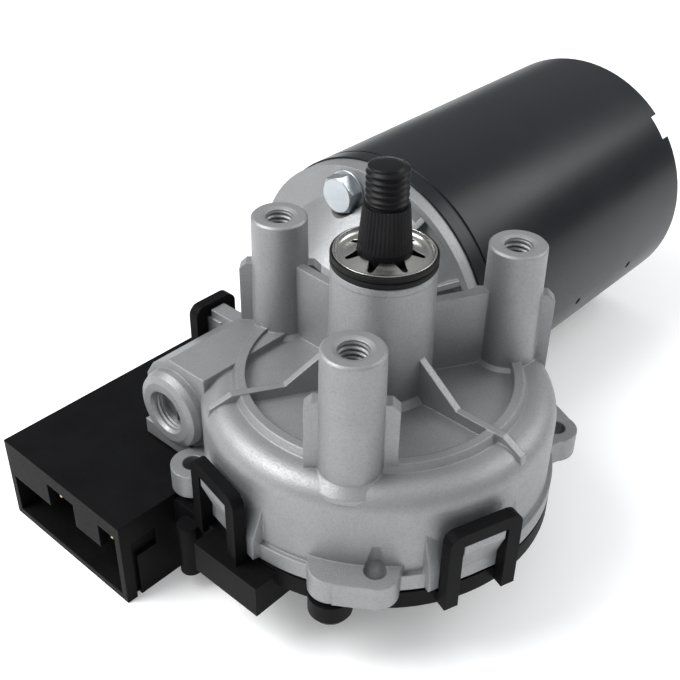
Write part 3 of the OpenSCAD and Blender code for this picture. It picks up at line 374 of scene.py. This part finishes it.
def shaft_radius(z, angle):
    r = interpolate(SHAFT, z)
    if z >= THREAD_FOOT:
        fade = min(1.0, (z - THREAD_FOOT) / THREAD_RUN_OUT)
        r -= THREAD_DEPTH * fade * wave(z / THREAD_PITCH - angle / (2 * math.pi))
    if z > DOME_FOOT:
        r *= math.sqrt(1 - ((z - DOME_FOOT) / (DOME_END - DOME_FOOT)) ** 2)
    if CONE_FOOT <= z <= CONE_TOP:
        depth = SERRATION_DEPTH * min(1.0, (z - CONE_FOOT) / SERRATION_RISE)
        r -= depth * saw(SERRATIONS * angle / (2 * math.pi))
    return r


shaft_rows = [-51.8, -51.2, -10.0, 3.0, 5.0, CONE_FOOT]
shaft_rows += steps(5.6, 0.98, 11) + [15.45, 15.7, 15.9]
shaft_rows += steps(THREAD_FOOT, 0.1, 92) + [SHAFT_TIP]
output_shaft = to_object("output_shaft_threaded", turned(shaft_rows, SHAFT_AROUND, shaft_radius),
                         "black_oxide_steel", "output", 40)
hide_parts("output_shaft")

# Cupped star washer: radius and height of its sheet, from the slits' inner ends to the turned-up rim

STAR_SHEET = [(6.35, 3.85), (7.2, 3.55), (8.2, 3.2), (8.7, 3.04), (8.95, 2.96), (9.1, 2.91), (9.2, 2.88),
              (9.6, 2.75), (10.1, 2.64), (10.6, 2.64), (10.9, 2.8), (11.2, 3.2), (11.45, 3.8), (11.5, 3.95)]
STAR_THICK, STAR_EDGE = 0.38, 0.07
STAR_SLITS, STAR_FIRST, STAR_COLUMNS = 7, math.radians(-160.5), 14
SLIT_START, SLIT_END, SLIT_ROUND = 6.35, 9.2, 0.7
SLIT_WIDE, SLIT_NARROW = 2.5, 1.4


def slit_width(r):
    """Width of a slit: it narrows outwards and ends in a half circle."""
    if r >= SLIT_END:
        return 0.0
    round_start = SLIT_END - SLIT_ROUND
    width = interpolate([(SLIT_START, SLIT_WIDE), (round_start, SLIT_NARROW)], r)
    if r > round_start:
        width *= math.sqrt(max(0.0, 1 - ((r - round_start) / SLIT_ROUND) ** 2))
    return width


def star_sheet():
    bm = bmesh.new()
    pitch = 2 * math.pi / STAR_SLITS
    for start in steps(STAR_FIRST, pitch, STAR_SLITS):
        rows = []
        for r, z in STAR_SHEET:
            trim = math.asin(slit_width(r) / 2 / r)
            angles = [start + trim + (pitch - 2 * trim) * i / STAR_COLUMNS for i in range(STAR_COLUMNS + 1)]
            rows.append([bm.verts.new(point(r, angle, z)) for angle in angles])
        for inner, outer in zip(rows, rows[1:]):
            for i in range(STAR_COLUMNS):
                bm.faces.new((inner[i], outer[i], outer[i + 1], inner[i + 1]))
    bmesh.ops.remove_doubles(bm, verts=bm.verts, dist=0.002 * MM)
    return bm


star = to_object("star_washer_cupped", star_sheet(), "washer_steel", "output", 45)
thickness = star.modifiers.new("thickness", "SOLIDIFY")
thickness.thickness = STAR_THICK * MM
thickness.offset = -1
rounding = star.modifiers.new("rounding", "BEVEL")
rounding.width = STAR_EDGE * MM
rounding.segments = 2
rounding.limit_method = "ANGLE"
rounding.angle_limit = math.radians(50)
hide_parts("star_washer")

# Turned crown of the tower, under the rubber ring

CROWN_IN, CROWN_R, CROWN_FOOT, CROWN_TOP = 8.2, 12.3, -1.2, 0.65
crown = [(CROWN_IN, CROWN_FOOT), (CROWN_R, CROWN_FOOT), (CROWN_R, CROWN_TOP - 0.4),
         (CROWN_R - 0.1, CROWN_TOP - 0.15), (CROWN_R - 0.35, CROWN_TOP), (CROWN_IN, CROWN_TOP)]
to_object("tower_crown", revolved(crown), "die_casting", "housing", 30)

# Far side of the right ear: the lug runs on in a straight edge along the drum. Corners seen from above.

EAR_TOP, EAR_FOOT, EAR_ROUND = -51.35, -57.9, 0.5
EAR_PLAN = [(39.98, -33.22), (43.95, -24.6), (45.2, -20.2), (44.6, -16.8), (42.6, -13.5), (40.6, -12.5),
            (33.5, -26.1), (36.95, -28.56)]
ear = bmesh.new()
ear_foot = [ear.verts.new((x * MM, y * MM, EAR_FOOT * MM)) for x, y in EAR_PLAN]
ear_top = [ear.verts.new((x * MM, y * MM, EAR_TOP * MM)) for x, y in EAR_PLAN]
ear.faces.new(ear_foot)
ear.faces.new(ear_top)
for i in range(len(EAR_PLAN)):
    j = (i + 1) % len(EAR_PLAN)
    ear.faces.new((ear_foot[i], ear_foot[j], ear_top[j], ear_top[i]))
bmesh.ops.recalc_face_normals(ear, faces=ear.faces)
bmesh.ops.bevel(ear, geom=ear.edges[:], offset=EAR_ROUND * MM, segments=3, profile=0.6, affect="EDGES")
to_object("right_ear_web", ear, "die_casting", "housing", 35)

# Rubber ring round the star washer, with a groove in its side and a lip over the washer's rim

RING_IN, RING_R, GROOVE_R, LIP_R = 6.5, 12.38, 11.98, 11.94
RING_FOOT, RING_FLOOR, RING_TOP = 0.66, 2.0, 3.66
ring_profile = [
    (RING_IN, RING_FOOT),
    (RING_R - 0.35, RING_FOOT),
    (RING_R - 0.1, RING_FOOT + 0.1),
    (RING_R, RING_FOOT + 0.3),
    (RING_R, 1.85),
    (RING_R - 0.08, 1.98),
    (GROOVE_R, 2.06),
    (GROOVE_R, 2.3),
    (RING_R - 0.08, 2.38),
    (RING_R, 2.5),
    (RING_R, RING_TOP - 0.25),
    (RING_R - 0.07, RING_TOP - 0.07),
    (RING_R - 0.22, RING_TOP),
    (LIP_R + 0.03, RING_TOP),
    (LIP_R, RING_TOP - 0.1),
    (LIP_R, 2.6),
    (11.2, RING_FLOOR),
    (RING_IN, RING_FLOOR),
]
ring = to_object("shaft_seal_ring_lipped", revolved(ring_profile), "black_rubber", "housing",
                 40)
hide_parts("shaft_seal_ring")

# The two bolts that hold the can: a chamfered hexagon on a washer face

BOLT_CIRCLE = 33
BOLT_ANGLES = [math.radians(a) for a in (80, 260)]
BOLT_AROUND = 144
SHANK_R, SHANK = 3, 9
WASHER_R, WASHER_T, WASHER_ROUND = 6.1, 0.7, 0.15
HEAD_H, HEX_FLATS, HEX_TURN = 4.6, 10, math.radians(12)
CHAMFER_SLOPE, CHAMFER_INSET = 1.7, 0.25
# Step in height at a sharp corner
CORNER = 0.01


def bolt_radius(z, angle):
    """Radius of the bolt at a height above the face that its head bears on."""
    if z < 0:
        return SHANK_R
    if z <= WASHER_T:
        return WASHER_R - (WASHER_ROUND if z > WASHER_T - CORNER else 0)
    to_flat = (angle + HEX_TURN) % math.radians(60) - math.radians(30)
    hexagon = HEX_FLATS / 2 / math.cos(to_flat)
    return min(hexagon, HEX_FLATS / 2 - CHAMFER_INSET + CHAMFER_SLOPE * (HEAD_H - z))


bolt_rows = [-SHANK, -CORNER, 0, WASHER_T - WASHER_ROUND, WASHER_T, WASHER_T + CORNER]
bolt_rows += steps(WASHER_T + 0.05, (HEAD_H - 1.0 - WASHER_T) / 4, 5)
bolt_rows += steps(HEAD_H - 0.9, 0.1, 9) + [HEAD_H]
bolt_seat_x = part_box("can_bolts")[0][0] + HEAD_H * MM
for number, angle in enumerate(BOLT_ANGLES, 1):
    bolt_bm = turned(bolt_rows, BOLT_AROUND, bolt_radius)
    off_y, off_z = BOLT_CIRCLE * MM * math.cos(angle), BOLT_CIRCLE * MM * math.sin(angle)
    lay_along_motor(bolt_bm, (bolt_seat_x, MOTOR_Y + off_y, MOTOR_Z + off_z))
    bolt = to_object("can_bolt_%d" % number, bolt_bm, "bolt_zinc", "housing", 28)
    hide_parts("can_bolts")

# Threads inside the three posts and the boss of the thrust screw

POST_CIRCLE = 33.5
POST_ANGLES = [math.radians(a) for a in (-150, -30, 90)]
# Radius of the hole, depth of the thread, its pitch, and the heights of its top and foot
POST_THREAD = (3.4, 0.42, 1.25, -0.45, -19.5)
BOSS_THREAD = (5.3, 0.5, 1.0, 35.6, 32.4)
ROWS_PER_PITCH, THREAD_AROUND = 10, 72
# How far the thread's root is sunk into the wall
ROOT_SUNK = 0.05


def inner_thread(hole_r, depth, pitch, top, foot):
    """A thread's crests that stand in from the wall of a tapped hole and run out at both ends."""
    count = int((top - foot) / (pitch / ROWS_PER_PITCH))

    def crest(z, angle):
        fade = max(0.0, min(1.0, (top - z) / pitch, (z - foot) / pitch))
        turns = z / pitch - angle / (2 * math.pi)
        return hole_r + ROOT_SUNK - (depth + ROOT_SUNK) * fade * wave(turns + 0.5)

    rows = [top - (top - foot) * i / count for i in range(count + 1)]
    bm = turned(rows, THREAD_AROUND, crest, capped=False)
    bmesh.ops.reverse_faces(bm, faces=bm.faces)
    return bm


for number, angle in enumerate(POST_ANGLES, 1):
    post_bm = inner_thread(*POST_THREAD)
    bmesh.ops.translate(post_bm, verts=post_bm.verts, vec=point(POST_CIRCLE, angle, 0))
    to_object("post_thread_%d" % number, post_bm, "die_casting", "housing", 50)

boss_bm = inner_thread(*BOSS_THREAD)
lay_along_motor(boss_bm, (0, MOTOR_Y, MOTOR_Z))
to_object("thrust_boss_thread", boss_bm, "die_casting", "housing", 50)

# Floor: pale, and lit a little from within, so that it stays white under the soft light

FLOOR_HALF, FLOOR_GAP, FLOOR_GLOW = 4, 0.05 * MM, 0.2
floor_mat, floor_tree, floor_shader, floor_place = new_material("floor")
floor_tone = between(floor_tree, noise(floor_tree, floor_place, 3, 2.0), grey(0.9), grey(0.93))
floor_tree.links.new(floor_tone, floor_shader.inputs["Base Color"])
floor_shader.inputs["Roughness"].default_value = 0.9
floor_shader.inputs["Emission Color"].default_value = (*WHITE, 1)
floor_shader.inputs["Emission Strength"].default_value = FLOOR_GLOW
floor_bm = bmesh.new()
bmesh.ops.create_grid(floor_bm, x_segments=2, y_segments=2, size=FLOOR_HALF)
floor_mesh = bpy.data.meshes.new("floor")
floor_bm.to_mesh(floor_mesh)
floor_bm.free()
floor_mesh.materials.append(floor_mat)
floor = bpy.data.objects.new("floor", floor_mesh)
floor.location = (0, 0, cad_box[0][2] - FLOOR_GAP)
bpy.context.scene.collection.objects.link(floor)

# Surroundings: a tent that brightens from the horizon to the top

world = bpy.data.worlds.new("studio")
bpy.context.scene.world = world
world.use_nodes = True
sky = world.node_tree
direction = sky.nodes.new("ShaderNodeTexCoord").outputs["Generated"]
split = sky.nodes.new("ShaderNodeSeparateXYZ")
sky.links.new(direction, split.inputs["Vector"])
tent = ramp(sky, split.outputs["Z"],
            [(0.0, (0.17, 0.174, 0.178)), (0.4, (0.38, 0.39, 0.4)), (0.9, (0.8, 0.81, 0.83))])
sky.links.new(tent, sky.nodes["Background"].inputs["Color"])
bpy.context.scene.view_settings.view_transform = "Standard"


def area_light(name, place, target, size, power):
    data = bpy.data.lights.new(name, "AREA")
    data.shape = "RECTANGLE"
    data.size, data.size_y = size
    data.energy = power
    light = bpy.data.objects.new(name, data)
    light.location = place
    light.rotation_euler = (Vector(target) - Vector(place)).to_track_quat("-Z", "Y").to_euler()
    bpy.context.scene.collection.objects.link(light)


area_light("key", (-0.45, 0.35, 0.6), (0.02, 0.02, -0.04), (0.5, 0.5), 9)
area_light("fill", (-0.7, -0.5, 0.35), (0.02, 0.0, -0.04), (0.6, 0.5), 0.3)
area_light("rim", (0.6, -0.4, 0.5), (0.05, 0.02, -0.03), (0.5, 0.4), 3)

# Camera, as fitted to the round edges in the photo

AZIMUTH, ELEVATION, ROLL = (math.radians(a) for a in (-48.175, 35.196, 1.019))
CAMERA_PLACE = (-0.157775, -0.128249, 0.122055)
FOCAL_PX, PHOTO_PX, SENSOR_MM = 1047.409, 680, 36
back = Vector((math.sin(AZIMUTH) * math.cos(ELEVATION), -math.cos(AZIMUTH) * math.cos(ELEVATION),
               math.sin(ELEVATION)))
right = Vector((math.cos(AZIMUTH), math.sin(AZIMUTH), 0))
up = back.cross(right)
rolled_right = right * math.cos(ROLL) + up * math.sin(ROLL)
rolled_up = up * math.cos(ROLL) - right * math.sin(ROLL)
camera_data = bpy.data.cameras.new("camera")
camera_data.sensor_width = SENSOR_MM
camera_data.lens = FOCAL_PX / PHOTO_PX * SENSOR_MM
camera_data.clip_start = 0.01
camera = bpy.data.objects.new("camera", camera_data)
axes = Matrix((rolled_right, rolled_up, back)).transposed().to_4x4()
camera.matrix_world = Matrix.Translation(CAMERA_PLACE) @ axes
bpy.context.scene.collection.objects.link(camera)
bpy.context.scene.camera = camera
